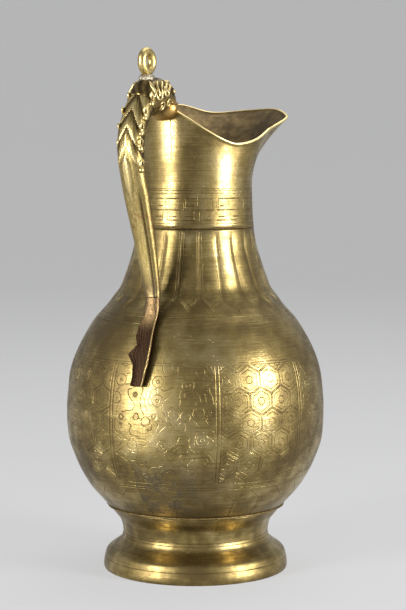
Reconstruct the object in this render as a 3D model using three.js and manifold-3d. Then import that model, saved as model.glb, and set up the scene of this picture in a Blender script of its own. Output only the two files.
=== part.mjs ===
// A bronze pouring jug: a lathe-turned belly on a flared foot ring, a fluted shoulder, a neck with a
// broad scooped mouth, and a cast handle whose beast head bites the rim and carries a hanging loop.
// Millimetres, +Z up, spout towards +X, handle towards -X.
import * as THREE from 'three';
import { mergeVertices } from 'three/addons/utils/BufferGeometryUtils.js';
import Module from 'manifold-3d';

const wasm = await Module();
wasm.setup();

// Driving dimensions
const GAP = 0.4;
const WALL = 2.2;
const NECK_WALL = 1.9;
const SPIGOT_DEPTH = 9;
const SEAM_Z = 266;
const SEAM_GAP = 1.4;
const FLUTES = 22;
const FLUTE_DEPTH = 0.6;
const FLUTE_TIP_Z = 204;
const BODY_STEPS = 2 * FLUTES;
const NECK_STEPS = 66;
const HEIGHT = 400;
const LOOP_TUBE = 3.3;
const LOOP_RADIUS = 7.2;
const LOOP_REACH = 73;

// Belly and shoulder outline, [radius, height], from the foot joint to the neck joint
const BELLY = [
  [69.4, 51.4], [74.4, 56.8], [82.3, 66.1], [89.9, 78.7], [95.1, 91.2], [98.6, 103.7], [100.1, 125.6],
  [98.9, 144.4], [96.8, 157], [92.5, 169.5], [86.4, 182], [78.7, 194.5], [70.4, 203.9], [62.9, 213.3],
  [58.3, 219.6], [54.6, 229], [51.3, 238.4], [47.5, 250.9], [45.1, SEAM_Z],
];

// Foot outline, [radius, height], from the base edge up to the flange under the belly
const FOOT = [
  [71.8, 0], [71.8, 6.7], [69.6, 12.9], [67.2, 16], [62.6, 19.2], [58.8, 22.3], [56.7, 29],
  [58.6, 38], [63.3, 44.2], [66.8, 49.1],
];

// Straight part of the neck, [radius, height]
const NECK = [[45, SEAM_Z + SEAM_GAP], [44.3, 279], [43.6, 297.9]];

// Mouth rim, [degrees from the spout towards -Y, radius, height]; the near side dips lowest
const RIM = [
  [0, 89.2, 356.6], [20, 86.1, 356.9], [38, 79.1, 350.4], [50, 63.4, 343.5], [62, 56.4, 340], [84, 50.6, 332.7],
  [104, 46.6, 329.4], [118, 45.8, 331.1], [138, 45.4, 338.6], [160, 45.4, 349.3], [180, 45.4, 357.5],
  [200, 45.4, 359], [230, 45.4, 350.7], [255, 46, 343.4], [280, 48.5, 347.6], [300, 56.4, 356.2],
  [322, 78.3, 360.9], [340, 86.1, 354.9],
];

// Handle centre line from the muzzle to the tail tip:
// [distance from the axis, height, sideways offset, half width, half thickness]
const HANDLE = [
  [44.5, 351, 0, 8, 4.5], [48, 357, 0, 10.5, 8], [54, 362.5, 0, 12, 12], [63, 364.5, 0, 12.5, 14],
  [73, 363.2, 0, 12.5, 14.2], [81, 358.2, 0, 12, 10], [89, 350, 0, 11.5, 8], [95.5, 338, 0, 11.4, 7.8],
  [97, 325, 0, 11.3, 7.8], [94.5, 308, 0, 10.8, 7], [88.4, 288, -0.5, 9.8, 5.5], [83.2, 269, -1.5, 9, 4.8],
  [79, 251, -2.6, 8, 4.4], [75.4, 232, -3.8, 7, 4], [73.4, 217, -4.6, 6, 3.6], [76.6, 205.5, -5, 6.2, 3.3],
  [85.2, 192.5, -5, 7.4, 2.8], [92.2, 180, -5, 9, 2.3], [97, 167, -5, 8.6, 1.9], [99.9, 153, -5, 6, 1.3],
];
const HEAD_END = 5;
const STEM_END = 14;

const brass = new THREE.MeshStandardMaterial({ color: 0xa8893c, roughness: 0.34, metalness: 1 });
const bronze = new THREE.MeshStandardMaterial({ color: 0x94793a, roughness: 0.4, metalness: 1 });
const darkBronze = new THREE.MeshStandardMaterial({ color: 0x5a4527, roughness: 0.6, metalness: 0.9 });
const solder = new THREE.MeshStandardMaterial({ color: 0x9a9384, roughness: 0.55, metalness: 0.8 });

const jug = new THREE.Group();

function addPiece(name, geometry, material) {
  geometry.computeVertexNormals();
  const piece = new THREE.Mesh(geometry, material);
  piece.name = name;
  jug.add(piece);
}

// A surface through rings of points. With two end points it is capped; without, it closes on itself.
function ringSurface(rings, firstPole, lastPole) {
  const points = rings.flat();
  const count = rings[0].length;
  const faces = [];
  const capped = firstPole !== undefined;
  const bands = capped ? rings.length - 1 : rings.length;
  for (let i = 0; i < bands; i += 1) {
    const lower = i * count;
    const upper = ((i + 1) % rings.length) * count;
    for (let j = 0; j < count; j += 1) {
      const next = (j + 1) % count;
      faces.push(lower + j, lower + next, upper + next);
      faces.push(lower + j, upper + next, upper + j);
    }
  }
  if (capped) {
    const last = (rings.length - 1) * count;
    points.push(firstPole, lastPole);
    for (let j = 0; j < count; j += 1) {
      const next = (j + 1) % count;
      faces.push(points.length - 2, next, j);
      faces.push(last + j, last + next, points.length - 1);
    }
  }
  const geometry = new THREE.BufferGeometry();
  geometry.setFromPoints(points);
  geometry.setIndex(faces);
  return geometry;
}

function circleRing(radius, height, steps, ripple = 0) {
  const ring = [];
  for (let j = 0; j < steps; j += 1) {
    const angle = (2 * Math.PI * j) / steps;
    const reach = radius + ripple * Math.cos(FLUTES * angle);
    ring.push(new THREE.Vector3(reach * Math.cos(angle), reach * Math.sin(angle), height));
  }
  return ring;
}

function solidOf(geometry) {
  const bare = geometry.clone();
  bare.deleteAttribute('normal');
  bare.deleteAttribute('uv');
  const merged = mergeVertices(bare, 1e-4);
  const vertProperties = Float32Array.from(merged.attributes.position.array);
  const triVerts = Uint32Array.from(merged.index.array);
  return new wasm.Manifold(new wasm.Mesh({ numProp: 3, vertProperties, triVerts }));
}

function geometryOf(solid) {
  const mesh = solid.getMesh();
  const geometry = new THREE.BufferGeometry();
  geometry.setAttribute('position', new THREE.BufferAttribute(Float32Array.from(mesh.vertProperties), 3));
  geometry.setIndex(Array.from(mesh.triVerts));
  return geometry;
}

// Belly and fluted shoulder, one raised shell with a closed floor
function bodyShell() {
  const outside = BELLY.map(([radius, height]) => {
    const onFlutes = height > FLUTE_TIP_Z && height < SEAM_Z;
    return circleRing(radius, height, BODY_STEPS, onFlutes ? FLUTE_DEPTH : 0);
  });
  const floorRings = [circleRing(35, 47.4, BODY_STEPS), circleRing(60, 49.6, BODY_STEPS)];
  const inside = BELLY.filter((point, i) => i > 0 && i % 2 === 0)
    .map(([radius, height]) => circleRing(radius - WALL, height, BODY_STEPS))
    .reverse();
  const floorInside = [circleRing(66, 54, BODY_STEPS), circleRing(50, 51, BODY_STEPS)];
  const rings = [...floorRings, ...outside, ...inside, ...floorInside];
  return ringSurface(rings, new THREE.Vector3(0, 0, 47.2), new THREE.Vector3(0, 0, 50));
}

function footRing() {
  const outside = FOOT.map(([radius, height]) => circleRing(radius, height, BODY_STEPS));
  const inside = FOOT.filter((point, i) => i > 0 && i < FOOT.length - 1)
    .map(([radius, height]) => circleRing(radius - WALL - 0.4, height - 1, BODY_STEPS))
    .reverse();
  const flange = circleRing(60.6, FOOT.at(-1)[1], BODY_STEPS);
  const baseInside = circleRing(FOOT[0][0] - WALL - 0.4, 0, BODY_STEPS);
  return ringSurface([...outside, flange, ...inside, baseInside]);
}

// A band of solder or brazing with a box-like section
function seamRing(innerRadius, outerRadius, low, high) {
  return ringSurface([
    circleRing(outerRadius, low, BODY_STEPS),
    circleRing(outerRadius - 0.2, high, BODY_STEPS),
    circleRing(innerRadius, high, BODY_STEPS),
    circleRing(innerRadius, low, BODY_STEPS),
  ]);
}

// The rim is a closed smooth curve through its points, read by angle
const rimCurve = new THREE.CatmullRomCurve3(
  RIM.map(([, radius, height]) => new THREE.Vector3(radius, height, 0)), true, 'catmullrom', 0.5);

function rimAt(degrees) {
  const turn = ((degrees % 360) + 360) % 360;
  let i = RIM.length - 1;
  while (RIM[i][0] > turn) i -= 1;
  const from = RIM[i][0];
  const to = i + 1 < RIM.length ? RIM[i + 1][0] : 360;
  const point = rimCurve.getPoint((i + (turn - from) / (to - from)) / RIM.length);
  return [point.x, point.y];
}

// Mouth flare: slow at the neck and quick towards the rim
function flare(rise) {
  return rise * rise * (1.35 - 0.35 * rise);
}

function mouthRing(rise, inset) {
  const ring = [];
  const [neckRadius, neckHeight] = NECK.at(-1);
  for (let j = 0; j < NECK_STEPS; j += 1) {
    const angle = (2 * Math.PI * j) / NECK_STEPS;
    const [rimRadius, rimHeight] = rimAt(-THREE.MathUtils.radToDeg(angle));
    const reach = neckRadius + (rimRadius - neckRadius) * flare(rise) - inset;
    const height = neckHeight + (rimHeight - neckHeight) * rise;
    ring.push(new THREE.Vector3(reach * Math.cos(angle), reach * Math.sin(angle), height));
  }
  return ring;
}

function neckSleeve() {
  const spigotRadius = BELLY.at(-1)[0] - WALL - GAP;
  const spigotFoot = SEAM_Z - SPIGOT_DEPTH;
  const rises = [0.2, 0.4, 0.58, 0.74, 0.88, 1];
  const rings = [
    ...NECK.map(([radius, height]) => circleRing(radius, height, NECK_STEPS)),
    ...rises.map((rise) => mouthRing(rise, 0)),
    ...rises.toReversed().map((rise) => mouthRing(rise, NECK_WALL)),
    circleRing(NECK[1][0] - NECK_WALL, NECK[1][1], NECK_STEPS),
    circleRing(spigotRadius - 1.5, spigotFoot, NECK_STEPS),
    circleRing(spigotRadius, spigotFoot, NECK_STEPS),
    circleRing(spigotRadius, NECK[0][1], NECK_STEPS),
  ];
  return ringSurface(rings);
}

// The whole handle follows one centre line; its pieces are stretches of it
const handleLine = new THREE.CatmullRomCurve3(
  HANDLE.map(([reach, height, side]) => new THREE.Vector3(-reach, side, height)), false, 'catmullrom', 0.5);
const handleSize = new THREE.CatmullRomCurve3(
  HANDLE.map(([, , , wide, thick]) => new THREE.Vector3(wide, thick, 0)), false, 'catmullrom', 0.5);

function handleStretch(from, to, ringCount, sides) {
  const spans = HANDLE.length - 1;
  const rings = [];
  for (let i = 0; i < ringCount; i += 1) {
    const along = (from + ((to - from) * i) / (ringCount - 1)) / spans;
    const centre = handleLine.getPoint(along);
    const size = handleSize.getPoint(along);
    const ahead = handleLine.getTangent(along);
    const outward = new THREE.Vector3(ahead.z, 0, -ahead.x).normalize();
    const across = new THREE.Vector3().crossVectors(ahead, outward);
    const ring = [];
    for (let j = 0; j < sides; j += 1) {
      const angle = (2 * Math.PI * j) / sides;
      const point = centre.clone();
      point.addScaledVector(outward, size.y * Math.cos(angle));
      point.addScaledVector(across, size.x * Math.sin(angle));
      ring.push(point);
    }
    rings.push(ring);
  }
  const first = handleLine.getPoint(from / spans);
  const last = handleLine.getPoint(to / spans);
  return ringSurface(rings, first, last);
}

// The head is slotted from below, so that it sits over the rim and bites it
function beastHead() {
  const rimRadius = RIM.find(([degrees]) => degrees === 180)[1];
  const slotInside = rimRadius - NECK_WALL - GAP;
  const slotOutside = rimRadius + GAP;
  const slotTop = 361.4;
  const slot = ringSurface([
    circleRing(slotOutside, 300, NECK_STEPS),
    circleRing(slotOutside, slotTop, NECK_STEPS),
    circleRing(slotInside, slotTop, NECK_STEPS),
    circleRing(slotInside, 300, NECK_STEPS),
  ]);
  const whole = solidOf(handleStretch(0, HEAD_END, 12, 16));
  return geometryOf(whole.subtract(solidOf(slot)));
}

function loopRing(tube) {
  const ring = new THREE.TorusGeometry(LOOP_RADIUS, tube, 10, 20);
  ring.rotateX(Math.PI / 2);
  ring.translate(-LOOP_REACH, 0, HEIGHT - LOOP_RADIUS - LOOP_TUBE);
  return ring;
}

// A low collar of solder that holds the loop's underside on the crown
function loopCollar() {
  const low = 374;
  const high = 380.6;
  const rings = [[8, 5.2, low], [7, 4.6, high - 1.4], [4, 3, high]].map(([long, wide, height]) => {
    const ring = [];
    for (let j = 0; j < 14; j += 1) {
      const angle = (2 * Math.PI * j) / 14;
      ring.push(new THREE.Vector3(long * Math.cos(angle) - LOOP_REACH, wide * Math.sin(angle), height));
    }
    return ring;
  });
  const first = new THREE.Vector3(-LOOP_REACH, 0, low);
  const last = new THREE.Vector3(-LOOP_REACH, 0, high);
  const collar = solidOf(ringSurface(rings, first, last));
  const crown = solidOf(handleStretch(0, HEAD_END, 12, 16)).translate([0, 0, GAP]);
  return geometryOf(collar.subtract(solidOf(loopRing(LOOP_TUBE + GAP))).subtract(crown));
}

addPiece('body_shell', bodyShell(), brass);
addPiece('neck_sleeve', neckSleeve(), brass);
addPiece('neck_brazing', seamRing(43, 45.4, SEAM_Z + 0.3, SEAM_Z + SEAM_GAP - 0.3), solder);
addPiece('foot_ring', footRing(), brass);
addPiece('foot_solder', seamRing(67.3, 68.9, 49.5, 50.6), solder);
addPiece('beast_head', beastHead(), bronze);
addPiece('handle_bow', handleStretch(HEAD_END + 0.05, STEM_END, 27, 14), bronze);
addPiece('tail_leaf', handleStretch(STEM_END + 0.06, HANDLE.length - 1, 12, 12), darkBronze);
addPiece('hanging_loop', loopRing(LOOP_TUBE), bronze);
addPiece('loop_solder', loopCollar(), solder);

// The row's origin is the middle of the jug's box, in the plane of the foot
const middle = new THREE.Box3().setFromObject(jug).getCenter(new THREE.Vector3());
jug.position.set(-middle.x, -middle.y, 0);

export default jug;
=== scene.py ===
"""The looks of the bronze pouring jug: fine meshes with worn, engraved and patinated brass."""
import math

import bpy
import numpy as np
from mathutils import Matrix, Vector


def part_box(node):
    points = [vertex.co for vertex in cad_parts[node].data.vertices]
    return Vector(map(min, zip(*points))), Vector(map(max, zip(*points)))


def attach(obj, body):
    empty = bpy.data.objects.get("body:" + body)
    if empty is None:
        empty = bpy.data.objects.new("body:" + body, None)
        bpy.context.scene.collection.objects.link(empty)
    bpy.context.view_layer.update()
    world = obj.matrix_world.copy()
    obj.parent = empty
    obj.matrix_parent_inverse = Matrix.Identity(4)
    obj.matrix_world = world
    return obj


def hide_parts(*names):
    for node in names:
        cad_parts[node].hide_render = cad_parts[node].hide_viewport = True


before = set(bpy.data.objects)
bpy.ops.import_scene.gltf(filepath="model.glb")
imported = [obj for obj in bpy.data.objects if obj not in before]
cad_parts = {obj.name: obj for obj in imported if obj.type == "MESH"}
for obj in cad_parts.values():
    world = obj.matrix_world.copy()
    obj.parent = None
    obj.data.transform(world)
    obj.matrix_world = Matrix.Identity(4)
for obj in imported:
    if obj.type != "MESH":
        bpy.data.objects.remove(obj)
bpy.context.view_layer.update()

MM = 0.001
TAU = 2 * math.pi

# The jug's axis runs through the middle of the foot, and the sizes below are in millimetres from it
foot_low, foot_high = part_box("foot_ring")
AXIS_X = (foot_low[0] + foot_high[0]) / 2 / MM

# Outlines of the vessel as [radius, height]
BELLY = [
    [69.4, 51.4], [74.4, 56.8], [82.3, 66.1], [89.9, 78.7], [95.1, 91.2], [98.6, 103.7], [100.0, 125.6],
    [98.9, 144.4], [96.8, 157], [92.5, 169.5], [86.4, 182], [78.7, 194.5], [70.4, 203.9], [62.9, 213.3],
    [58.3, 219.6], [54.6, 229], [51.3, 238.4], [47.5, 250.9], [45.1, 266],
]
FOOT = [
    [71.3, 0], [71.8, 1.6], [71.8, 4.4], [71.3, 7.2], [69.9, 12.9], [67.2, 16], [62.6, 19.2], [58.8, 22.3],
    [57.1, 25.6], [56.7, 30], [58.6, 38], [63.3, 44.2], [66.8, 49.1],
]
NECK = [[45.2, 266.6], [44.3, 279], [43.6, 297.9]]
NECK_INSIDE = [[42.2, 285], [41.3, 258], [42.3, 257], [42.4, 266.4]]

# The mouth's edge as [degrees from the lip towards the near side, radius, height]
RIM = [
    [0, 89.2, 356.6], [20, 86.1, 356.9], [38, 79.1, 350.4], [50, 63.4, 343.5], [62, 56.4, 340],
    [84, 50.6, 332.7], [104, 46.6, 329.4], [118, 45.8, 331.1], [138, 45.4, 338.6], [160, 45.4, 349.3],
    [180, 45.4, 357.5], [200, 45.4, 359], [230, 45.4, 350.7], [255, 46, 343.4], [280, 48.5, 347.6],
    [300, 56.4, 356.2], [322, 78.3, 360.9], [340, 86.1, 354.9],
]

# Walls, the radius that the belly's surface stays within, and the belly's floor
WALL = 2.2
NECK_WALL = 1.9
BELLY_LIMIT = 100.05
FLOOR_UNDER = [[35, 47.4], [60, 49.6]]
FLOOR_INSIDE = [[66, 54], [50, 51]]
FLOOR_MIDDLE_UNDER = 47.2
FLOOR_MIDDLE_INSIDE = 50

# The foot's seat under the belly, the inner edge that it stands on, and how far its inside lies back
FOOT_SEAT = 60.6
FOOT_STAND = 69.0
FOOT_INSET = WALL + 0.4

# The mouth: rings up the outside, over the lip and down the inside; how far the lip stands out and up
MOUTH_RINGS = 40
LIP_RINGS = 8
INSIDE_RINGS = 30
LIP_BEAD = 0.45
LIP_ROUND = 0.9

# Solder and brazing as [radius, height, share of the ripple]
FOOT_SEAM = [[68.1, 49.3, 0.6], [69.3, 49.9, 1], [69.3, 50.7, 1], [68.2, 51.2, 0.4], [66.6, 50.2, 0]]
NECK_SEAM = [[45.2, 265.9, 0.3], [45.5, 266.3, 1], [45.2, 266.8, 0.3], [43.2, 266.3, 0]]
FOOT_SEAM_RIPPLE = 0.5
NECK_SEAM_RIPPLE = 0.15

# Tongues on the shoulder, and the heights where they begin, are risen, are wide, fade and end
FLUTES = 22
FLUTE_TIP = 203
FLUTE_RISEN = 212
FLUTE_WIDE = 217
FLUTE_FADES = 258
FLUTE_END = 264
FLUTE_DEPTH = 0.675

# Dents in the belly as [degrees, height, size, depth]
DENTS = [
    [206, 66, 13, 0.9], [224, 88, 16, 0.8], [192, 78, 10, 0.7], [250, 118, 14, 0.5], [60, 90, 15, 0.7],
    [320, 150, 12, 0.5], [120, 140, 14, 0.6], [20, 180, 11, 0.5], [213, 128, 8, 0.35],
]

# Handle centre line: [reach, height, sideways offset, half width, half thickness]
HANDLE = np.array([
    [44.5, 351, 0, 8, 4.5], [48, 357, 0, 10.5, 8], [54, 362.5, 0, 12, 12], [63, 364.5, 0, 12.5, 14],
    [73, 363.2, 0, 12.5, 14.2], [81, 358.2, 0, 12, 10], [89, 350, 0, 11.5, 8], [95.5, 338, 0, 11.4, 7.8],
    [97, 325, 0, 11.3, 7.8], [94.5, 308, 0, 10.8, 7], [88.4, 288, -0.5, 9.8, 5.5],
    [83.2, 269, -1.5, 9, 4.8], [79, 251, -2.6, 8, 4.4], [75.4, 232, -3.8, 7, 4], [73.4, 217, -4.6, 6, 3.6],
    [76.6, 205.5, -5, 6.2, 3.3], [85.2, 192.5, -5, 7.4, 2.8], [92.2, 180, -5, 9, 2.3],
    [97, 167, -5, 8.6, 1.9], [99.9, 153, -5, 6, 1.3],
])

# Where the handle's three castings begin and end, counted in points of the centre line
HEAD_END = 5
BOW_START = HEAD_END + 0.04
BOW_END = 14.02
TAIL_START = 14.06
TAIL_END = len(HANDLE) - 1
HANDLE_SIDES = 72
HEAD_RINGS = 110
BOW_RINGS = 330

# The mane: length of a feather row, rows, how far a row sweeps back at the sides, and its start
MANE_ROW = 12.6
MANE_ROWS = 4
MANE_SWEEP = 17
MANE_START = 15
FEATHER_LIFT = 0.65

# Pearls on the mane's edges, tucked in further on the side away from the camera
PEARL_PLACES = [5.2, 6.3, 7.15, 7.95, 8.85]
PEARL_SIZE = (2.2, 1.9, 2.2)
PEARL_LIFT = 1.9
PEARL_TUCK_NEAR = 1.6
PEARL_TUCK_FAR = 3.6
HOOK_RISE = 4.8
HOOK_RADIUS = 2.3
# Size of a dark lump inside each hook's curl, painted shade of its hollow
HOOK_SHADE_LUMP = (1.5, 0.9, 1.5)

# The head: its muzzle and nose, and places on its sides as (x, height)
MUZZLE_CENTRE = (-50.5, 0, 356)
MUZZLE_SIZE = (8.8, 12.2, 9.6)
NOSE_CENTRE = (-44.3, 0, 354.5)
NOSE_SIZE = (3.6, 8.6, 5.6)
# Place of a dark lump round each eye, painted shade of its socket
EYE_SHADE_LUMP = (-54.5, 368)
EYE = (-54.3, 368)
BROW_START = (-50.5, 369.5)
EAR = (-60.5, 373.5)
JAW_START = (-43.5, 360.5)
FIRST_LOCK = (-57, 376.6)
LOCKS = 5
LOCK_PITCH = 5

# Curls on each cheek as [x, height, size, start angle, turns, radius of the strand]
CURLS = [
    [-65.5, 367, 4.6, 0.4, 1.3, 1.0], [-75.5, 364.5, 4.4, 1.6, 1.3, 1.0],
    [-70, 356.5, 3.8, 2.8, -1.2, 0.9], [-61.5, 359, 3.4, 0.2, 1.2, 0.85],
]

# The tail leaf: points along and across it, and the chips drawn at random along its break
TAIL_ROWS = 120
TAIL_CELLS = 28
TAIL_CHIPS = 10
TAIL_SEED = 7

# The hanging loop, and its solder bead as [half length, half width, height]
LOOP_REACH = 73
LOOP_RADIUS = 7.2
LOOP_TUBE = 3.3
LOOP_HEIGHT = 389.5
COLLAR = [[7.2, 4.9, 375.5], [7.6, 5.0, 377.4], [7, 4.6, 378.7], [5.8, 4, 379.9], [3.6, 3, 380.6]]
COLLAR_TOP = 380.7

# Engraving: petals, panels in degrees and their lines as shares of a pair, and the heights of rings
PETALS = 23
PETAL_SHIFT = 0.35
PETAL_SHOULDER = 65.5
PETAL_SLOPE = 17
PANEL_START = 217
PANEL_TURN = 45
PANEL_LINES = [0.012, 0.03, 0.47, 0.488]
FIELD_LOW = 81
FIELD_HIGH = 168
HEXAGONS = 34
HEXAGON_PITCH = 18.2
BELLY_CIRCLES = [51.9, 75.8, 77.4, 80.5, 168.4, 170, 196.4, 201.5]
NECK_CIRCLES = [268.1, 269.7, 292.4, 294.6, 295.9]
FOOT_CIRCLES = [9.2, 26.2, 28.4]
FRET_CELLS = 11
FRET_LOW = 269.8
FRET_HEIGHT = 22.4

# Colours of the metal, from rubbed bright to dirt in the cuts; the castings also use the darkest one for
# painted shade
BARE_EDGE = (0.86, 0.68, 0.3)
GOLD = (0.62, 0.49, 0.235)
BRASS = (0.34, 0.255, 0.09)
PATINA = (0.14, 0.1, 0.04)
TARNISH = (0.12, 0.095, 0.06)
GRIME_AND_SHADE = (0.05, 0.032, 0.014)
INSIDE_DARK = (0.1, 0.068, 0.03)
INSIDE_BRIGHT = (0.27, 0.19, 0.08)

# Colours of the castings
HANDLE_BRIGHT = (0.7, 0.55, 0.25)
HEAD_BRIGHT = (0.66, 0.52, 0.24)
LOOP_BRIGHT = (0.85, 0.66, 0.27)
MUZZLE_BROWN = (0.42, 0.26, 0.08)
STEM_BROWN = (0.12, 0.08, 0.05)
RED_STAIN = (0.22, 0.09, 0.04)
TAIL_DARK = (0.045, 0.024, 0.014)
TAIL_BROWN = (0.2, 0.13, 0.06)
TAIL_EDGE = (0.72, 0.54, 0.2)

# Solder colours, dark and bright
SEAM_DARK = (0.06, 0.04, 0.02)
SEAM_BRIGHT = (0.3, 0.21, 0.08)
TIN_DARK = (0.16, 0.12, 0.07)
TIN_BRIGHT = (0.5, 0.46, 0.36)

# The camera: degrees that it stands off the handle's side, its place, what it looks at and its lens
CAMERA_TURN = 29
CAMERA_REACH = 1383
CAMERA_HEIGHT = 327
AIM_HEIGHT = 204.8
AIM_RIGHT = 5.9
LENS = 105.4

# Lamps: name, degrees to the camera's right, reach, height, width, length and watts
LAMPS = [
    ["left_softbox", -52, 1500, 420, 360, 700, 30],
    ["right_softbox", 62, 1500, 460, 420, 700, 36],
    ["top_softbox", 150, 700, 1700, 1200, 1200, 14],
]
LAMP_AIM = 190
WORLD_COLOUR = (0.75, 0.77, 0.8, 1)
WORLD_STRENGTH = 0.48

# The paper sweep as [reach, height], its own colour, and the even grey that it shows
SWEEP = [
    [1, 0], [500, 0], [1200, 0], [2200, 0], [2900, 0], [3300, 80], [3600, 350], [3700, 800], [3700, 3200],
]
SWEEP_SIDES = 96
PAPER = (0.6, 0.6, 0.62, 1)
PAPER_REACH = 4000
PAPER_NEAR = 0.66
PAPER_FAR = 0.5
PAPER_GLOW = 0.75


def spline(points, place):
    """A uniform Catmull-Rom curve through the points, open at its ends."""
    points = np.asarray(points, float)
    first = 2 * points[0] - points[1]
    last = 2 * points[-1] - points[-2]
    padded = np.vstack([first, points, last])
    i = min(int(place), len(points) - 2)
    t = place - i
    a, b, c, d = padded[i:i + 4]
    return b + 0.5 * t * (c - a + t * (2 * a - 5 * b + 4 * c - d + t * (3 * (b - c) + d - a)))


def smooth_outline(points, steps):
    """The outline with that many steps between each two of its points."""
    return [spline(points, i / steps) for i in range((len(points) - 1) * steps + 1)]


def ramp(value, low, high):
    """A smooth step from 0 at low to 1 at high."""
    t = np.clip((value - low) / (high - low), 0, 1)
    return t * t * (3 - 2 * t)


def rim_at(degrees):
    """The mouth's radius and height at that turn."""
    turn = degrees % 360
    loop = [row[1:] for row in RIM[-2:] + RIM + RIM[:3]]
    angles = [row[0] for row in RIM] + [360]
    i = max(k for k in range(len(RIM)) if angles[k] <= turn)
    return spline(loop, 2 + i + (turn - angles[i]) / (angles[i + 1] - angles[i]))


def piece_from(name, points, faces, material, node, wear_and_shade=None, inner=None, inner_material=None):
    """A named piece that stands for a node; its per-point value runs from 0 in hollows to 1 on rubbed ridges,
    and also holds painted shade.
    """
    mesh = bpy.data.meshes.new(name)
    places = np.array(points, float)
    places[:, 0] += AXIS_X
    mesh.from_pydata((places * MM).tolist(), [], faces)
    mesh.polygons.foreach_set("use_smooth", [True] * len(mesh.polygons))
    mesh.materials.append(material)
    if inner is not None:
        mesh.materials.append(inner_material)
        mesh.polygons.foreach_set("material_index", inner)
    layer = mesh.attributes.new("wear_and_shade", "FLOAT", "POINT")
    values = np.full(len(points), 0.5) if wear_and_shade is None else wear_and_shade
    layer.data.foreach_set("value", np.asarray(values, np.float32))
    mesh.update()
    piece = bpy.data.objects.new(name, mesh)
    bpy.context.scene.collection.objects.link(piece)
    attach(piece, "root")
    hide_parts(node)


def ring_faces(ring_count, count, capped):
    """Faces through rings; capped, they end in two poles, and if not, the last ring meets the first."""
    faces = []
    bands = ring_count - 1 if capped else ring_count
    for i in range(bands):
        low = i * count
        high = ((i + 1) % ring_count) * count
        for j in range(count):
            k = (j + 1) % count
            faces.append((low + j, low + k, high + k, high + j))
    if capped:
        pole = ring_count * count
        last = (ring_count - 1) * count
        for j in range(count):
            k = (j + 1) % count
            faces.append((pole, k, j))
            faces.append((last + j, last + k, pole + 1))
    return faces


def wobble(angle, height, amount):
    """Uneven hand-hammered walls: a few long waves round and up the vessel."""
    waves = np.sin(2 * angle + height / 31) + 0.7 * np.sin(3 * angle - height / 23 + 1.3)
    waves += 0.5 * np.sin(7 * angle + height / 11 + 0.4) + 0.35 * np.sin(11 * angle - height / 9 + 2.1)
    return amount * waves / 2.5


def full_circle(count):
    """Evenly spaced angles round the axis."""
    return np.arange(count) * TAU / count


def around(radius, height, angle):
    """A ring of points round the axis; radius and height are numbers or one value for each angle."""
    return np.stack([radius * np.cos(angle), radius * np.sin(angle), np.full_like(angle, 1) * height], axis=1)


def flute_relief(angle, height):
    """Raised tongues with pointed lower ends, from 0 in the grooves to 1 on the crowns."""
    across = np.abs(((angle * FLUTES / TAU) % 1) - 0.5)
    half = 0.48 * ramp(height, FLUTE_TIP, FLUTE_WIDE) * np.ones_like(angle)
    crown = np.sqrt(np.clip(1 - (across / np.maximum(half, 0.02)) ** 2.4, 0, 1))
    return crown * ramp(height, FLUTE_TIP, FLUTE_RISEN) * (1 - ramp(height, FLUTE_FADES, FLUTE_END))


def dent_depth(angle, radius, height):
    """How far the belly is pushed in at that radius and height."""
    depth = np.zeros_like(angle)
    for degrees, level, size, deep in DENTS:
        turn = (angle - math.radians(degrees) + math.pi) % TAU - math.pi
        away = ((turn * radius) ** 2 + (height - level) ** 2) / size ** 2
        depth += deep * np.exp(-2 * away)
    return depth


def build_belly(material, dark):
    """The belly and shoulder: floor, fluted and dented outside, and a plain dark inside."""
    count = FLUTES * 12
    angle = full_circle(count)
    rings = [around(radius, height, angle) for radius, height in FLOOR_UNDER]
    wear_and_shade = [np.full(count, 0.5)] * len(rings)
    for radius, height in smooth_outline(BELLY, 8):
        crown = flute_relief(angle, height)
        risen = ramp(height, FLUTE_TIP, FLUTE_RISEN)
        fluting = FLUTE_DEPTH * (crown - 0.55) * risen * (1 - ramp(height, FLUTE_FADES, FLUTE_END))
        fade = ramp(height, 53, 66) * (1 - ramp(height, 250, 262))
        reach = radius + fluting - 0.12 + wobble(angle, height, 0.55) * fade
        reach = np.minimum(reach - dent_depth(angle, radius, height) * fade, BELLY_LIMIT)
        rings.append(around(reach, height, angle))
        wear_and_shade.append(0.5 + 0.2 * (crown - 0.5) * risen)
    outer = len(rings)
    for radius, height in smooth_outline(BELLY[1:], 2)[::-1]:
        rings.append(around(radius - WALL, height + 0.2, angle))
    rings += [around(radius, height, angle) for radius, height in FLOOR_INSIDE]
    wear_and_shade += [np.full(count, 0.2)] * (len(rings) - outer)
    points = np.vstack(rings + [[[0, 0, FLOOR_MIDDLE_UNDER]], [[0, 0, FLOOR_MIDDLE_INSIDE]]])
    faces = ring_faces(len(rings), count, True)
    inner = [1 if min(face) // count >= outer - 1 else 0 for face in faces]
    values = np.concatenate(wear_and_shade + [[0.5, 0.2]])
    piece_from("belly_and_shoulder", points, faces, material, "body_shell", values, inner, dark)


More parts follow.
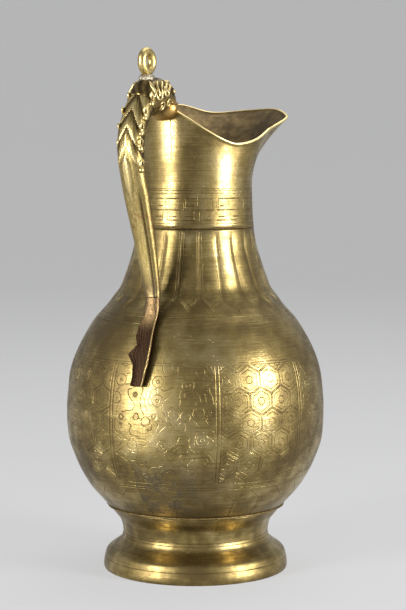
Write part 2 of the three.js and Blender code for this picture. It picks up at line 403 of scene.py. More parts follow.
def build_neck(material, dark):
    """The neck with its flared, scooped mouth, rounded lip and dark inside."""
    count = 300
    angle = full_circle(count)
    rim = np.array([rim_at(-math.degrees(a)) for a in angle])
    neck_radius, neck_height = NECK[-1]

    def mouth(rise, inset, lift=0.0):
        flare = rise * rise * (1.35 - 0.35 * rise)
        reach = neck_radius + (rim[:, 0] - neck_radius) * flare - inset
        height = neck_height + (rim[:, 1] - neck_height) * rise + lift
        ripple = wobble(angle, 300 + 50 * rise, 0.25) * (1 - 0.6 * rise)
        return around(reach + ripple, height, angle)

    rings = []
    wear_and_shade = []
    for radius, height in smooth_outline(NECK, 8):
        rings.append(around(radius + wobble(angle, height, 0.12), height, angle))
        wear_and_shade.append(np.full(count, 0.5))
    for i in range(1, MOUTH_RINGS + 1):
        rise = i / MOUTH_RINGS
        rings.append(mouth(rise, -LIP_BEAD * float(ramp(rise, 0.93, 0.985))))
        wear_and_shade.append(np.full(count, 0.5 + 0.5 * float(ramp(i, MOUTH_RINGS - 1.5, MOUTH_RINGS))))
    half = NECK_WALL / 2 + 0.2
    for i in range(1, LIP_RINGS):
        turn = math.pi * i / LIP_RINGS
        rings.append(mouth(1, half - LIP_BEAD - half * math.cos(turn) * 1.1, LIP_ROUND * math.sin(turn)))
        wear_and_shade.append(np.full(count, 1.0))
    outer = len(rings)
    for i in range(INSIDE_RINGS, 0, -1):
        rings.append(mouth(i / INSIDE_RINGS, NECK_WALL))
    rings += [around(radius, height, angle) for radius, height in NECK_INSIDE]
    wear_and_shade += [np.full(count, 0.3)] * (len(rings) - outer)
    faces = ring_faces(len(rings), count, False)
    inner = [1 if outer <= i // count < len(rings) - 1 else 0 for i in range(len(faces))]
    piece_from("neck_and_mouth", np.vstack(rings), faces, material, "neck_sleeve",
               np.concatenate(wear_and_shade), inner, dark)


def build_foot(material):
    """The hollow flared foot, open from below."""
    count = 240
    angle = full_circle(count)
    rings = []
    for radius, height in smooth_outline(FOOT, 6):
        fade = float(ramp(height, 8, 14)) * (1 - float(ramp(height, 44, 48)))
        rings.append(around(radius + wobble(angle, height * 2, 0.25) * fade, max(height, 0), angle))
    rings.append(around(FOOT_SEAT, FOOT[-1][1], angle))
    for radius, height in FOOT[1:-1][::-1]:
        rings.append(around(radius - FOOT_INSET, max(height - 1, 0.6), angle))
    rings.append(around(FOOT_STAND, 0, angle))
    piece_from("foot", np.vstack(rings), ring_faces(len(rings), count, False), material, "foot_ring")


def build_band(name, node, section, ripple, material):
    """An uneven fillet of solder or brazing round the vessel."""
    count = 240
    angle = full_circle(count)
    uneven = np.sin(5 * angle + 1) + np.sin(13 * angle) + np.sin(29 * angle + 2) + np.sin(47 * angle)
    rings = [around(radius + loose * ripple * uneven / 4, height, angle) for radius, height, loose in section]
    piece_from(name, np.vstack(rings), ring_faces(len(rings), count, False), material, node)


def handle_frame(place):
    """Centre, outward and sideways directions, half width and half thickness at a place on the handle."""
    step = 0.01
    reach, height, side, wide, thick = spline(HANDLE, place)
    ahead = spline(HANDLE, min(place + step, TAIL_END))[:3] - spline(HANDLE, max(place - step, 0))[:3]
    ahead = np.array([-ahead[0], ahead[2], ahead[1]])
    ahead /= np.linalg.norm(ahead)
    outward = np.array([ahead[2], 0, -ahead[0]])
    outward /= np.linalg.norm(outward)
    return np.array([-reach, side, height]), outward, np.cross(ahead, outward), wide, thick


def swept(start, end, ring_count, shape):
    """Rings along the handle; shape gives each ring's points from its angle and distance along."""
    rings = []
    wear_and_shade = []
    along = 0
    before = None
    angle = full_circle(HANDLE_SIDES)
    for i in range(ring_count):
        centre, outward, across, wide, thick = handle_frame(start + (end - start) * i / (ring_count - 1))
        if before is not None:
            along += np.linalg.norm(centre - before)
        before = centre
        out, side, level = shape(angle, along, wide, thick)
        rings.append(centre + np.outer(out, outward) + np.outer(side, across))
        wear_and_shade.append(level)
    points = np.vstack(rings + [[rings[0].mean(axis=0)], [rings[-1].mean(axis=0)]])
    values = np.concatenate(wear_and_shade + [[0.4, 0.4]])
    return points, values, ring_faces(ring_count, HANDLE_SIDES, True)


def mane_shape(angle, along, wide, thick):
    """One ring of the bow: rows of swept feathers, then a leaf tongue, a groove and the plain stem."""
    across = np.sin(angle)
    facing = ramp(np.cos(angle), -0.35, 0.15)
    row = (along + MANE_START - MANE_SWEEP * np.abs(across) ** 1.1) / MANE_ROW
    inside = (row > -1.6) & (row < MANE_ROWS)
    tooth = np.where(inside, row % 1, 0)
    strand = np.where(inside, np.sin(across * 34 + along * 0.9), 0)
    sunk = 1.3 * float(1 - ramp(along, 50, 90))
    lift = (np.where(inside, FEATHER_LIFT * tooth ** 0.8, 0) - sunk) * facing
    ridge = 0.5 * np.exp(-(across / 0.14) ** 2) * facing * float(1 - ramp(along, 75, 95))
    tongue_width = 0.34 * float(ramp(along, 40, 48)) * float(1 - ramp(along, 58, 80))
    tongue = np.where(~inside, ramp(tongue_width - np.abs(across - 0.1), 0, 0.08), 0) * 0.9 * facing
    groove = 0.35 * np.exp(-((across + 0.55) / 0.07) ** 2) * float(ramp(along, 62, 80)) * facing
    square = (np.abs(np.cos(angle)) ** 2.5 + np.abs(across) ** 2.5) ** (-1 / 2.5)
    out = thick * np.cos(angle) * square + lift + 0.16 * strand * facing + ridge + tongue - groove
    side = (wide - 1.2 * float(1 - ramp(along, 50, 75))) * across * square
    level = np.where(inside, 0.18 + 0.75 * tooth ** 0.8 + 0.12 * strand, 0.62 + 0.3 * tongue - groove)
    # Painted shade: the face of the bow turned towards the jug is darkened to half its value
    return out, side, np.clip(level * (0.5 + 0.5 * facing), 0, 1)


def join(parts):
    """Several closed meshes as one list of points, relief values and faces."""
    points = []
    values = []
    faces = []
    base = 0
    for part_points, part_values, part_faces in parts:
        points.append(part_points)
        values.append(part_values)
        faces += [tuple(base + i for i in face) for face in part_faces]
        base += len(part_points)
    return np.vstack(points), np.concatenate(values), faces


def blob(centre, size, level=0.8, steps=12, turn=0.0):
    """A closed rounded lump with its own radius along X, Y and Z, turned about Y, painted lighter on top and
    darker underneath as painted shade.
    """
    rings = []
    angle = full_circle(2 * steps)
    for i in range(1, steps):
        tilt = -math.pi / 2 + math.pi * i / steps
        rings.append(around(math.cos(tilt), math.sin(tilt), angle))
    points = np.vstack(rings + [[[0, 0, -1]], [[0, 0, 1]]]) * np.array(size)
    cosine = math.cos(turn)
    sine = math.sin(turn)
    turned = points.copy()
    turned[:, 0] = cosine * points[:, 0] + sine * points[:, 2]
    turned[:, 2] = -sine * points[:, 0] + cosine * points[:, 2]
    # Painted shade: the lump's value is full on top and falls to 55% on its underside
    shade = level * (0.55 + 0.45 * (points[:, 2] / size[2] + 1) / 2)
    return turned + np.array(centre), shade, ring_faces(steps - 1, 2 * steps, True)


def tube(path, radius, level=0.9):
    """A closed tube along points, thinner towards both ends."""
    sides = 10
    taper = 0.6
    path = np.asarray(path, float)
    rings = []
    angle = full_circle(sides)
    for i, point in enumerate(path):
        ahead = path[min(i + 1, len(path) - 1)] - path[max(i - 1, 0)]
        ahead /= np.linalg.norm(ahead)
        first = np.cross(ahead, [0.31, 0.9, 0.2])
        first /= np.linalg.norm(first)
        second = np.cross(ahead, first)
        reach = radius * (1 - taper * abs(2 * i / (len(path) - 1) - 1) ** 3)
        rings.append(point + reach * (np.outer(np.cos(angle), first) + np.outer(np.sin(angle), second)))
    points = np.vstack(rings + [[path[0]], [path[-1]]])
    return points, np.full(len(points), level), ring_faces(len(path), sides, True)


def pearl_and_hook(place, side):
    """A pearl on the mane's edge and the open curl above it, with a dark lump inside the curl as painted
    shade of its hollow.
    """
    steps = 16
    centre, outward, across, wide, _ = handle_frame(place)
    tuck = PEARL_TUCK_FAR if side > 0 else PEARL_TUCK_NEAR
    spot = centre + side * (wide - tuck) * across + outward * PEARL_LIFT
    hook = spot + np.array([0, side * 0.3, HOOK_RISE])
    path = []
    for i in range(steps):
        turn = math.radians(-70 + 270 * i / (steps - 1))
        swing = outward * HOOK_RADIUS * math.cos(turn)
        path.append(hook + swing + np.array([0, 0, 2.4 * math.sin(turn)]))
    # The last lump sits in the curl's middle at the darkest value: painted shade
    return [blob(spot, PEARL_SIZE, 1.0), tube(path, 1.0, 0.95), blob(hook, HOOK_SHADE_LUMP, 0.0)]


def build_bow(material):
    """The handle's bow with its mane and pearls."""
    parts = [swept(BOW_START, BOW_END, BOW_RINGS, mane_shape)]
    for place in PEARL_PLACES:
        for side in (-1, 1):
            parts += pearl_and_hook(place, side)
    points, values, faces = join(parts)
    piece_from("handle_with_mane", points, faces, material, "handle_bow", values)


def on_head(x, z, side, proud=0.0):
    """The place on the head's side surface at that x and height."""
    steps = 50
    best = None
    for i in range(steps + 1):
        centre, _, _, wide, thick = handle_frame(HEAD_END * i / steps)
        away = math.hypot(centre[0] - x, centre[2] - z)
        if best is None or away < best[0]:
            best = (away, wide, thick)
    share = min(best[0] / best[2], 0.985)
    return [x, side * (best[1] * math.sqrt(1 - share ** 2) + proud), z]


def curl(x, z, size, start, turns, radius, side):
    """A spiral strand laid on the head's side."""
    steps = 26
    path = []
    for i in range(steps):
        share = i / (steps - 1)
        angle = start + turns * TAU * share
        reach = size * (1 - 0.78 * share)
        path.append(on_head(x + reach * math.cos(angle), z + reach * math.sin(angle), side, 0.3 * share))
    return tube(path, radius)


def bowed_line(start, step, bow, side, proud):
    """Eight points back along the head's side, bowed up or down."""
    x, z = start
    return [on_head(x - step * i, z + bow * math.sin(i / 2.4), side, proud) for i in range(8)]


def hair_lock(number, side):
    """A wavy lock that falls from the crown over the head's side."""
    steps = 16
    x, z = FIRST_LOCK
    path = []
    for i in range(steps):
        share = i / (steps - 1)
        back = number * LOCK_PITCH + 6 * share - 1.6 * math.sin(share * 5 + number)
        path.append(on_head(x - back, z - 0.4 * number - 12 * share, side, 0.1))
    return tube(path, 1.15, 0.85)


def head_side(side):
    """What lies on one side of the head: a dark lump round the eye as painted shade of its socket, the eye,
    brow, ear, curls, jaw line and hair.
    """
    # The first lump, dark round the eye, is painted shade of its socket
    parts = [
        blob(on_head(*EYE_SHADE_LUMP, side, -1.2), (3.2, 2.6, 3.0), 0.2),
        blob(on_head(*EYE, side, 0.6), (1.7, 1.5, 1.7), 1.0),
        tube(bowed_line(BROW_START, 1.3, 2.2, side, 0.1), 1.2, 0.85),
        blob(on_head(*EAR, side, 0.2), (3.8, 1.7, 2.2), 0.75, 12, -0.5),
    ]
    parts += [curl(*values, side) for values in CURLS]
    parts.append(tube(bowed_line(JAW_START, 2, -1.6, side, 0.2), 0.8))
    parts += [hair_lock(number, side) for number in range(LOCKS)]
    return parts


def head_shape(angle, along, wide, thick):
    """One ring of the head, with shallow wavy locks over its top."""
    across = np.sin(angle)
    lock = 0.4 * np.sin(across * 13 + 2.2 * np.sin(along * 0.28) + along * 0.5)
    top = ramp(np.cos(angle), -0.1, 0.4) * float(ramp(along, 10, 18))
    out = thick * np.cos(angle) + 0.55 * lock * top
    side = wide * across * 0.96
    level = 0.5 + top * (0.28 * lock - 0.12)
    return out, side, np.clip(level, 0, 1)


def build_head(material):
    """The cast head that bites over the rim."""
    parts = [
        swept(0, HEAD_END, HEAD_RINGS, head_shape),
        blob(MUZZLE_CENTRE, MUZZLE_SIZE, 0.75, 20, 0.4),
        blob(NOSE_CENTRE, NOSE_SIZE, 0.7, 14),
    ]
    for side in (-1, 1):
        parts += head_side(side)
    points, values, faces = join(parts)
    piece_from("beast_head_cast", points, faces, material, "beast_head", values)


def build_tail(material):
    """The handle's lower end: a broken hollow leaf with a ragged far edge and a rubbed near edge."""
    rng = np.random.default_rng(TAIL_SEED)
    chips = np.interp(np.arange(TAIL_ROWS), np.linspace(0, TAIL_ROWS, TAIL_CHIPS), rng.random(TAIL_CHIPS))
    ragged = 0.94 * chips + 0.06 * rng.random(TAIL_ROWS)
    spread = np.linspace(-1, 1, TAIL_CELLS)
    rim = np.where(spread < 0, np.abs(spread) ** 3 * 2.6, np.abs(spread) ** 2 * 1.9)
    full = np.sqrt(np.clip(1 - spread ** 2, 0, 1))
    edge = np.exp(-((spread + 0.96) / 0.09) ** 2)
    rings = []
    wear_and_shade = []
    for i in range(TAIL_ROWS):
        share = i / (TAIL_ROWS - 1)
        centre, outward, across, wide, thick = handle_frame(TAIL_START + (TAIL_END - TAIL_START) * share)
        opened = float(ramp(share, 0.12, 0.42))
        torn = 1 - opened * (0.05 + 0.75 * ragged[i])
        side = np.where(spread > 0, spread * torn, spread)
        rough = 0.4 * opened * np.sin(spread * 9 + share * 23) * np.sin(share * 17 + spread * 11 + 1)
        top = (1 - opened) * thick * full + opened * (rim + rough - 0.4)
        under = -(1 - opened) * thick * full - opened * (0.9 - 0.4 * rim)
        over = [centre + outward * t + across * wide * s for t, s in zip(top, side)]
        below = [centre + outward * t + across * wide * s for t, s in zip(under, side)]
        rings.append(np.array(over + below[::-1]))
        shade = 0.62 * (1 - opened) + opened * (0.14 + 0.8 * edge + 0.12 * rough)
        wear_and_shade.append(np.concatenate([shade, np.full(TAIL_CELLS, 0.15)]))
    points = np.vstack(rings + [[rings[0].mean(axis=0)], [rings[-1].mean(axis=0)]])
    values = np.clip(np.concatenate(wear_and_shade + [[0.3, 0.3]]), 0, 1)
    faces = [tuple(reversed(face)) for face in ring_faces(TAIL_ROWS, 2 * TAIL_CELLS, True)]
    piece_from("tail_leaf_broken", points, faces, material, "tail_leaf", values)


def build_loop(material):
    """The hanging loop, slightly uneven but no higher than its solid."""
    steps = 72
    sides = 24
    angle = full_circle(sides)
    sideways = [0, 1, 0]
    rings = []
    for i in range(steps):
        turn = TAU * i / steps
        radial = np.array([math.cos(turn), 0, math.sin(turn)])
        fat = LOOP_TUBE * (1 + 0.03 * math.sin(3 * turn + 1))
        if math.sin(turn) > 0.8:
            fat = min(fat, LOOP_TUBE)
        centre = np.array([-LOOP_REACH, 0, LOOP_HEIGHT]) + LOOP_RADIUS * radial
        ring = np.outer(np.sin(angle), sideways) - np.outer(np.cos(angle), radial)
        rings.append(centre + fat * ring)
    values = np.full(steps * sides, 0.72)
    piece_from("loop_on_crown", np.vstack(rings), ring_faces(steps, sides, False), material, "hanging_loop",
               values)


def build_collar(material):
    """Lumpy solder round the loop's underside, laid over the crown."""
    sides = 48
    angle = full_circle(sides)
    lumpy = 1 + 0.06 * np.sin(3 * angle) + 0.05 * np.sin(7 * angle + 1) + 0.03 * np.sin(13 * angle)
    rings = []
    for long, wide, height in COLLAR:
        x = long * lumpy * np.cos(angle) - LOOP_REACH
        rings.append(np.stack([x, wide * lumpy * np.sin(angle), height + 0.15 * np.sin(5 * angle)], axis=1))
    points = np.vstack(rings + [[[-LOOP_REACH, 0, COLLAR[0][2]]], [[-LOOP_REACH, 0, COLLAR_TOP]]])
    piece_from("loop_solder_bead", points, ring_faces(len(COLLAR), sides, True), material, "loop_solder")


class Nodes:
    """One material's shader nodes under short names; places are in millimetres from the jug's axis."""

    def __init__(self, name):
        self.material = bpy.data.materials.new(name)
        self.material.use_nodes = True
        self.tree = self.material.node_tree
        self.shader = self.tree.nodes["Principled BSDF"]
        coordinate = self.tree.nodes.new("ShaderNodeTexCoord")
        mapping = self.tree.nodes.new("ShaderNodeMapping")
        mapping.inputs["Location"].default_value = (-AXIS_X, 0, 0)
        mapping.inputs["Scale"].default_value = (1 / MM, 1 / MM, 1 / MM)
        self.tree.links.new(coordinate.outputs["Object"], mapping.inputs["Vector"])
        self.place = mapping.outputs["Vector"]
        split = self.tree.nodes.new("ShaderNodeSeparateXYZ")
        self.tree.links.new(self.place, split.inputs[0])
        self.x, self.y, self.z = split.outputs
        self.turn = self.math("DIVIDE", self.math("ARCTAN2", self.y, self.x), TAU)

    def feed(self, socket, value):
        if isinstance(value, bpy.types.NodeSocket):
            self.tree.links.new(value, socket)
        else:
            socket.default_value = value

    def math(self, kind, *values):
        node = self.tree.nodes.new("ShaderNodeMath")
        node.operation = kind
        for socket, value in zip(node.inputs, values):
            self.feed(socket, value)
        return node.outputs[0]

    def add(self, a, b):
        return self.math("ADD", a, b)

    def sub(self, a, b):
        return self.math("SUBTRACT", a, b)

    def mul(self, a, b):
        return self.math("MULTIPLY", a, b)

    def most(self, *values):
        result = values[0]
        for value in values[1:]:
            result = self.math("MAXIMUM", result, value)
        return result

    def slope(self, value, start, end):
        """A straight ramp from 0 at start to 1 at end."""
        node = self.tree.nodes.new("ShaderNodeMapRange")
        self.feed(node.inputs["Value"], value)
        node.inputs["From Min"].default_value = start
        node.inputs["From Max"].default_value = end
        return node.outputs["Result"]

    def fade(self, value, low, high):
        """0 below low and 1 above high, or the other way round where low is the larger."""
        node = self.tree.nodes.new("ShaderNodeMapRange")
        node.interpolation_type = "SMOOTHSTEP"
        self.feed(node.inputs["Value"], value)
        swap = low > high
        node.inputs["From Min"].default_value = min(low, high)
        node.inputs["From Max"].default_value = max(low, high)
        node.inputs["To Min"].default_value = 1 if swap else 0
        node.inputs["To Max"].default_value = 0 if swap else 1
        return node.outputs["Result"]

    def line(self, value, centre, half):
        """1 where the value is at the centre, and 0 from half a line's width away."""
        gap = self.math("ABSOLUTE", self.sub(value, centre))
        return self.fade(gap, half, 0.3 * half)

    def between(self, value, low, high):
        return self.mul(self.math("GREATER_THAN", value, low), self.math("LESS_THAN", value, high))

    def cell(self, count, shift=0.0):
        """Place within one of count cells round the axis, from -0.5 to 0.5."""
        return self.sub(self.math("FRACT", self.add(self.mul(self.turn, count), 100 + shift)), 0.5)

    def noise(self, scale, detail=4, stretch=(1, 1, 1), rough=0.55):
        mapping = self.tree.nodes.new("ShaderNodeMapping")
        mapping.inputs["Scale"].default_value = stretch
        self.tree.links.new(self.place, mapping.inputs["Vector"])
        node = self.tree.nodes.new("ShaderNodeTexNoise")
        node.inputs["Scale"].default_value = scale
        node.inputs["Detail"].default_value = detail
        node.inputs["Roughness"].default_value = rough
        self.tree.links.new(mapping.outputs[0], node.inputs["Vector"])
        return node.outputs["Fac"]

    def wear_and_shade(self):
        node = self.tree.nodes.new("ShaderNodeAttribute")
        node.attribute_name = "wear_and_shade"
        return node.outputs["Fac"]

    def mix(self, share, first, second):
        node = self.tree.nodes.new("ShaderNodeMix")
        node.data_type = "RGBA"
        self.feed(node.inputs["Factor"], share)
        self.feed(node.inputs["A"], first if isinstance(first, bpy.types.NodeSocket) else (*first, 1))
        self.feed(node.inputs["B"], second if isinstance(second, bpy.types.NodeSocket) else (*second, 1))
        return node.outputs["Result"]

    def bump(self, height, depth_mm):
        node = self.tree.nodes.new("ShaderNodeBump")
        node.inputs["Distance"].default_value = depth_mm * MM
        node.inputs["Strength"].default_value = 1.0
        self.tree.links.new(height, node.inputs["Height"])
        self.tree.links.new(node.outputs["Normal"], self.shader.inputs["Normal"])

    def finish(self, colour, roughness):
        self.feed(self.shader.inputs["Base Color"], colour)
        self.feed(self.shader.inputs["Roughness"], roughness)
        self.shader.inputs["Metallic"].default_value = 1.0
        return self.material


def fret(n):
    """A two-row key fret between its border lines, from straight strokes in each cell."""
    across = n.add(n.cell(FRET_CELLS), 0.5)
    up = n.math("DIVIDE", n.sub(n.z, FRET_LOW), FRET_HEIGHT)
    upright = 0.011

    def flat(level, start, end, half):
        return n.mul(n.line(up, level, half), n.between(across, start, end))

    def tall(place, low, high):
        return n.mul(n.line(across, place, upright), n.between(up, low, high))

    marks = [
        flat(0.46, 0.04, 0.72, 0.028), tall(0.04, 0.46, 0.72), flat(0.6, 0.14, 0.36, 0.028),
        tall(0.46, 0.6, 0.88), flat(0.46, 0.54, 0.96, 0.028),
    ]
    rows = [(0.12, 0.02, 0.36), (0.24, 0.08, 0.32), (0.12, 0.52, 0.86), (0.24, 0.58, 0.82), (0.84, 0.1, 0.9)]
    marks += [flat(level, start, end, 0.026) for level, start, end in rows]
    columns = [(0.36, 0.12, 0.4), (0.52, 0.12, 0.4), (0.9, 0.3, 0.84), (0.1, 0.5, 0.84)]
    marks += [tall(place, low, high) for place, low, high in columns]
    return n.mul(n.most(*marks), n.between(n.z, FRET_LOW, FRET_LOW + FRET_HEIGHT))


def hexagons(n):
    """Double-lined pointed hexagons laid in rows, with a small one in the middle of each."""
    row = math.sqrt(3)
    across = n.mul(n.turn, HEXAGONS)
    up = n.math("DIVIDE", n.z, HEXAGON_PITCH)

    def offset(shift_x, shift_z):
        a = n.sub(n.math("FRACT", n.add(across, 100 + shift_x)), 0.5)
        b = n.sub(n.mul(n.math("FRACT", n.math("DIVIDE", n.add(up, shift_z), row)), row), row / 2)
        return n.math("ABSOLUTE", a), n.math("ABSOLUTE", b)

    def distance(a, b):
        return n.most(a, n.add(n.mul(a, 0.5), n.mul(b, row / 2)))

    near = n.math("MINIMUM", distance(*offset(0, 0)), distance(*offset(0.5, row / 2)))
    return n.most(n.line(near, 0.475, 0.02), n.line(near, 0.36, 0.018), n.line(near, 0.14, 0.02))


def scrolls(n):
    """Winding vine-like strokes round small flower rings."""
    vine = n.math("FRACT", n.mul(n.noise(0.045, 1.5), 9))
    rings = n.tree.nodes.new("ShaderNodeTexVoronoi")
    rings.inputs["Scale"].default_value = 0.075
    n.tree.links.new(n.place, rings.inputs["Vector"])
    flower = n.math("FRACT", n.mul(rings.outputs["Distance"], 4.5))
    near = n.math("LESS_THAN", rings.outputs["Distance"], 0.42)
    return n.most(n.mul(n.line(vine, 0.5, 0.09), n.sub(1, near)), n.mul(n.line(flower, 0.5, 0.13), near))


def circles(n, levels, half):
    """Engraved rings round the vessel at those heights."""
    return n.most(*[n.line(n.z, level, half) for level in levels])


def belly_engraving(n):
    """Outlines of the tongues, petals over the foot, and panels of hexagons and scrolls in turn."""
    tongue = n.math("ABSOLUTE", n.cell(FLUTES))
    taper = n.mul(n.fade(n.z, 204.5, FLUTE_WIDE), 0.47)
    outlines = n.most(n.line(tongue, taper, 0.022), n.line(tongue, n.sub(taper, 0.1), 0.02))
    tongues = n.mul(outlines, n.between(n.z, 205, FLUTE_END))
    petal = n.math("ABSOLUTE", n.cell(PETALS, PETAL_SHIFT))
    peak = n.add(PETAL_SHOULDER, n.mul(n.sub(0.5, petal), PETAL_SLOPE))
    zigzag = n.line(n.sub(n.z, peak), 0, 0.42)
    stem = n.mul(n.line(petal, 0.5, 0.018), n.between(n.z, 51, 66))
    pair = 2 * PANEL_TURN / 360
    panel = n.math("FRACT", n.add(n.math("DIVIDE", n.sub(n.turn, PANEL_START / 360), pair), 100))
    odd = n.math("LESS_THAN", panel, 0.5)
    field = n.between(n.z, FIELD_LOW, FIELD_HIGH)
    edge = n.mul(n.most(*[n.line(panel, place, 0.005) for place in PANEL_LINES]), field)
    inside = n.mul(odd, n.between(panel, 0.034, 0.466))
    tiles = n.mul(n.mul(hexagons(n), inside), field)
    vines = n.mul(n.mul(scrolls(n), n.sub(1, odd)), field)
    return n.most(tongues, zigzag, stem, circles(n, BELLY_CIRCLES, 0.3), edge, tiles, n.mul(vines, 0.8))


def neck_engraving(n):
    """The key fret with its rings, and the outline of an old patch beside the handle."""
    patch = n.mul(n.line(n.turn, -0.487, 0.0011), n.between(n.z, 318, 349))
    patch_foot = n.mul(n.line(n.z, 318.2, 0.3), n.between(n.turn, -0.4995, -0.487))
    return n.most(circles(n, NECK_CIRCLES, 0.28), fret(n), patch, patch_foot)


def foot_engraving(n):
    return circles(n, FOOT_CIRCLES, 0.35)


def aged_brass(name, engraving, tarnished):
    """Rubbed brass: polish and patina in cloudy patches, lathe marks, pits and engraved strokes."""
    n = Nodes(name)
    cloud = n.noise(0.022, 5, rough=0.6)
    blotch = n.noise(0.09, 6, rough=0.65)
    lathe = n.noise(0.35, 5, (0.12, 0.12, 3.2), 0.6)
    fine = n.noise(1.6, 5, (0.3, 0.3, 2.6), 0.7)
    pits = n.fade(n.noise(0.55, 3), 0.66, 0.74)
    cuts = n.mul(engraving(n), n.mul(n.fade(n.noise(0.16, 3), 0.26, 0.5), 0.72))
    worn = n.add(n.mul(cloud, 0.55), n.add(n.mul(blotch, 0.3), n.mul(lathe, 0.25)))
    colour = n.mix(n.fade(worn, 0.44, 0.62), PATINA, BRASS)
    colour = n.mix(n.fade(worn, 0.54, 0.72), colour, GOLD)
    colour = n.mix(n.mul(n.fade(n.wear_and_shade(), 0.62, 0.35), 0.75), colour, PATINA)
    colour = n.mix(n.fade(n.wear_and_shade(), 0.75, 0.98), colour, BARE_EDGE)
    if tarnished:
        left = n.fade(n.math("ABSOLUTE", n.sub(n.turn, -0.49)), 0.17, 0.03)
        low = n.mul(n.fade(n.z, 108, 78), n.fade(n.z, 50, 56))
        spread = n.mul(n.mul(left, low), n.fade(blotch, 0.4, 0.56))
        colour = n.mix(n.mul(spread, 0.85), colour, TARNISH)
        foot = n.mul(n.fade(n.z, 62, 51), n.fade(blotch, 0.35, 0.6))
        colour = n.mix(n.mul(foot, 0.6), colour, PATINA)
    colour = n.mix(n.mul(pits, 0.6), colour, GRIME_AND_SHADE)
    colour = n.mix(n.mul(cuts, 0.85), colour, GRIME_AND_SHADE)
    roughness = n.add(0.2, n.add(n.mul(n.fade(worn, 0.75, 0.4), 0.18), n.mul(fine, 0.12)))
    roughness = n.add(roughness, n.mul(cuts, 0.25))
    height = n.add(n.mul(lathe, 0.35), n.add(n.mul(fine, 0.16), n.mul(blotch, 0.9)))
    height = n.sub(n.sub(height, n.mul(cuts, 0.9)), n.mul(pits, 0.5))
    n.bump(height, 0.24)
    return n.finish(colour, roughness)


def cast_bronze(name, bright, muzzle=False):
    """Cast metal, rubbed on its ridges and brown in its hollows, and darkened where its per-point value holds
    painted shade; a bare muzzle is orange-brown.
    """
    n = Nodes(name)
    grain = n.noise(0.8, 6, rough=0.65)
    streak = n.noise(0.3, 4, (1, 1, 0.25))
    level = n.add(n.wear_and_shade(), n.mul(n.sub(grain, 0.5), 0.5))
    # Low values turn towards the darkest colour: patina in hollows, and painted shade under lumps, in the
    # hook and eye centres and on the handle's inner face
    colour = n.mix(n.fade(level, 0.28, 0.7), GRIME_AND_SHADE, BRASS)
    colour = n.mix(n.fade(n.add(level, n.mul(n.sub(streak, 0.5), 0.5)), 0.55, 0.95), colour, bright)
    brown = n.mul(n.fade(n.z, 246, 208), n.fade(n.noise(0.12, 4), 0.3, 0.5))
    colour = n.mix(n.mul(brown, 0.85), colour, STEM_BROWN)
    spots = n.mul(n.fade(n.noise(0.2, 5), 0.48, 0.56), n.between(n.z, 268, 279))
    red = n.mul(spots, n.math("LESS_THAN", n.y, 4))
    colour = n.mix(n.mul(red, 0.6), colour, RED_STAIN)
    if muzzle:
        colour = n.mix(n.mul(n.slope(n.x, -60, -56), n.slope(n.z, 364, 361)), colour, MUZZLE_BROWN)
    roughness = n.add(0.26, n.add(n.mul(grain, 0.2), n.mul(n.fade(level, 0.55, 0.2), 0.25)))
    n.bump(n.add(grain, n.mul(streak, 0.4)), 0.22)
    return n.finish(colour, roughness)


def dark_inside():
    """Unpolished brown metal inside the vessel."""
    n = Nodes("inside_brown")
    stain = n.noise(0.06, 6, rough=0.7)
    marks = n.noise(0.5, 4, (0.2, 0.2, 2))
    colour = n.mix(n.fade(stain, 0.35, 0.7), INSIDE_DARK, INSIDE_BRIGHT)
    n.bump(n.add(stain, n.mul(marks, 0.5)), 0.3)
    return n.finish(colour, n.add(0.42, n.mul(marks, 0.2)))


def dull_solder(name, dark, bright):
    """Grainy solder or brazing."""
    n = Nodes(name)
    grain = n.noise(1.1, 5, rough=0.7)
    colour = n.mix(n.fade(grain, 0.35, 0.65), dark, bright)
    n.bump(grain, 0.35)
    return n.finish(colour, n.add(0.38, n.mul(grain, 0.25)))


def tail_metal():
    """Dark rough metal of the broken leaf, rubbed bright along its whole edge."""
    n = Nodes("tail_patina")
    grain = n.noise(0.7, 6, rough=0.7)
    level = n.add(n.wear_and_shade(), n.mul(n.sub(grain, 0.5), 0.25))
    colour = n.mix(n.fade(level, 0.08, 0.42), TAIL_DARK, TAIL_BROWN)
    colour = n.mix(n.fade(level, 0.6, 0.9), colour, TAIL_EDGE)
    n.bump(grain, 0.5)
    return n.finish(colour, n.add(0.34, n.mul(n.fade(level, 0.6, 0.2), 0.3)))


def look_at(thing, target):
    """Turns a camera or lamp towards a place."""
    ahead = np.array(target) - np.array(thing.location)
    flat = math.hypot(ahead[0], ahead[1])
    thing.rotation_euler = (math.atan2(flat, -ahead[2]), 0, math.atan2(ahead[1], ahead[0]) - math.pi / 2)


def towards(degrees_right, reach, height):
    """A place at that many degrees to the right of the camera's side of the jug, in metres."""
    angle = math.radians(180 + CAMERA_TURN + degrees_right)
    return ((AXIS_X + reach * math.cos(angle)) * MM, reach * math.sin(angle) * MM, height * MM)


def add_camera():
    """The camera at the photograph's viewing angle."""
    data = bpy.data.cameras.new("photo_camera")
    data.lens = LENS
    camera = bpy.data.objects.new("photo_camera", data)
    bpy.context.scene.collection.objects.link(camera)
    camera.location = towards(0, CAMERA_REACH, CAMERA_HEIGHT)
    right = math.radians(CAMERA_TURN)
    aim_x = (AXIS_X + AIM_RIGHT * math.sin(right)) * MM
    aim_y = -AIM_RIGHT * math.cos(right) * MM
    look_at(camera, (aim_x, aim_y, AIM_HEIGHT * MM))
    bpy.context.scene.camera = camera


def add_lamp(name, degrees_right, reach, height, wide, tall, power):
    """A soft rectangular lamp that faces the jug."""
    data = bpy.data.lights.new(name, "AREA")
    data.shape = "RECTANGLE"
    data.size = wide * MM
    data.size_y = tall * MM
    data.energy = power
    lamp = bpy.data.objects.new(name, data)
    bpy.context.scene.collection.objects.link(lamp)
    lamp.location = towards(degrees_right, reach, height)
    look_at(lamp, (AXIS_X * MM, 0, LAMP_AIM * MM))


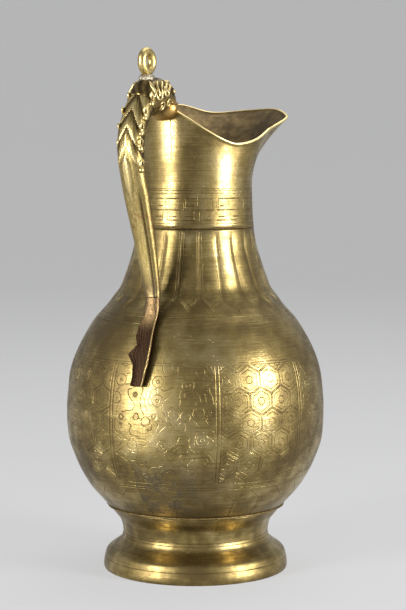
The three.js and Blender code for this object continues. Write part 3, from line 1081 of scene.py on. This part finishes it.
def glow_to_camera(tree, shader):
    """Lets the paper show an even pale grey, lighter near the jug, and keep the jug's shadow."""
    place = tree.nodes.new("ShaderNodeTexCoord")
    reach = tree.nodes.new("ShaderNodeVectorMath")
    reach.operation = "LENGTH"
    tree.links.new(place.outputs["Object"], reach.inputs[0])
    level = tree.nodes.new("ShaderNodeMapRange")
    level.inputs["From Max"].default_value = PAPER_REACH * MM
    level.inputs["To Min"].default_value = PAPER_NEAR
    level.inputs["To Max"].default_value = PAPER_FAR
    tree.links.new(reach.outputs["Value"], level.inputs["Value"])
    glow = tree.nodes.new("ShaderNodeEmission")
    tree.links.new(level.outputs["Result"], glow.inputs["Color"])
    path = tree.nodes.new("ShaderNodeLightPath")
    seen = tree.nodes.new("ShaderNodeMath")
    seen.operation = "MAXIMUM"
    tree.links.new(path.outputs["Is Camera Ray"], seen.inputs[0])
    tree.links.new(path.outputs["Is Glossy Ray"], seen.inputs[1])
    share = tree.nodes.new("ShaderNodeMath")
    share.operation = "MULTIPLY"
    share.inputs[1].default_value = PAPER_GLOW
    tree.links.new(seen.outputs[0], share.inputs[0])
    blend = tree.nodes.new("ShaderNodeMixShader")
    tree.links.new(share.outputs[0], blend.inputs[0])
    tree.links.new(shader.outputs[0], blend.inputs[1])
    tree.links.new(glow.outputs[0], blend.inputs[2])
    tree.links.new(blend.outputs[0], tree.nodes["Material Output"].inputs["Surface"])


def add_stage():
    """A round sweep of pale paper under and behind the jug."""
    points = []
    for reach, height in SWEEP:
        for j in range(SWEEP_SIDES):
            angle = TAU * j / SWEEP_SIDES
            points.append((reach * MM * math.cos(angle), reach * MM * math.sin(angle), height * MM))
    faces = []
    for i in range(len(SWEEP) - 1):
        low = i * SWEEP_SIDES
        high = low + SWEEP_SIDES
        for j in range(SWEEP_SIDES):
            k = (j + 1) % SWEEP_SIDES
            faces.append((low + j, low + k, high + k, high + j))
    mesh = bpy.data.meshes.new("studio_sweep")
    mesh.from_pydata(points, [], faces)
    mesh.polygons.foreach_set("use_smooth", [True] * len(mesh.polygons))
    paper = bpy.data.materials.new("studio_paper")
    paper.use_nodes = True
    shader = paper.node_tree.nodes["Principled BSDF"]
    shader.inputs["Base Color"].default_value = PAPER
    shader.inputs["Roughness"].default_value = 0.9
    shader.inputs["Specular IOR Level"].default_value = 0.1
    glow_to_camera(paper.node_tree, shader)
    mesh.materials.append(paper)
    stage = bpy.data.objects.new("studio_sweep", mesh)
    bpy.context.scene.collection.objects.link(stage)


def set_world():
    """Plain even light from all round."""
    world = bpy.data.worlds.new("studio_world")
    bpy.context.scene.world = world
    world.use_nodes = True
    world.node_tree.nodes["Background"].inputs["Color"].default_value = WORLD_COLOUR
    world.node_tree.nodes["Background"].inputs["Strength"].default_value = WORLD_STRENGTH


def build_jug():
    """Every piece of the jug, each with its material."""
    dark = dark_inside()
    solder = dull_solder("joint_solder", SEAM_DARK, SEAM_BRIGHT)
    build_belly(aged_brass("belly_brass", belly_engraving, True), dark)
    build_neck(aged_brass("neck_brass", neck_engraving, False), dark)
    build_foot(aged_brass("foot_brass", foot_engraving, False))
    build_band("foot_solder_line", "foot_solder", FOOT_SEAM, FOOT_SEAM_RIPPLE, solder)
    build_band("neck_brazing_line", "neck_brazing", NECK_SEAM, NECK_SEAM_RIPPLE, solder)
    build_bow(cast_bronze("handle_metal", HANDLE_BRIGHT))
    build_head(cast_bronze("head_bronze", HEAD_BRIGHT, muzzle=True))
    build_tail(tail_metal())
    build_loop(cast_bronze("loop_metal", LOOP_BRIGHT))
    build_collar(dull_solder("tin_solder", TIN_DARK, TIN_BRIGHT))


add_camera()
add_stage()
set_world()
for lamp_values in LAMPS:
    add_lamp(*lamp_values)
bpy.context.scene.view_settings.view_transform = "Standard"
build_jug()
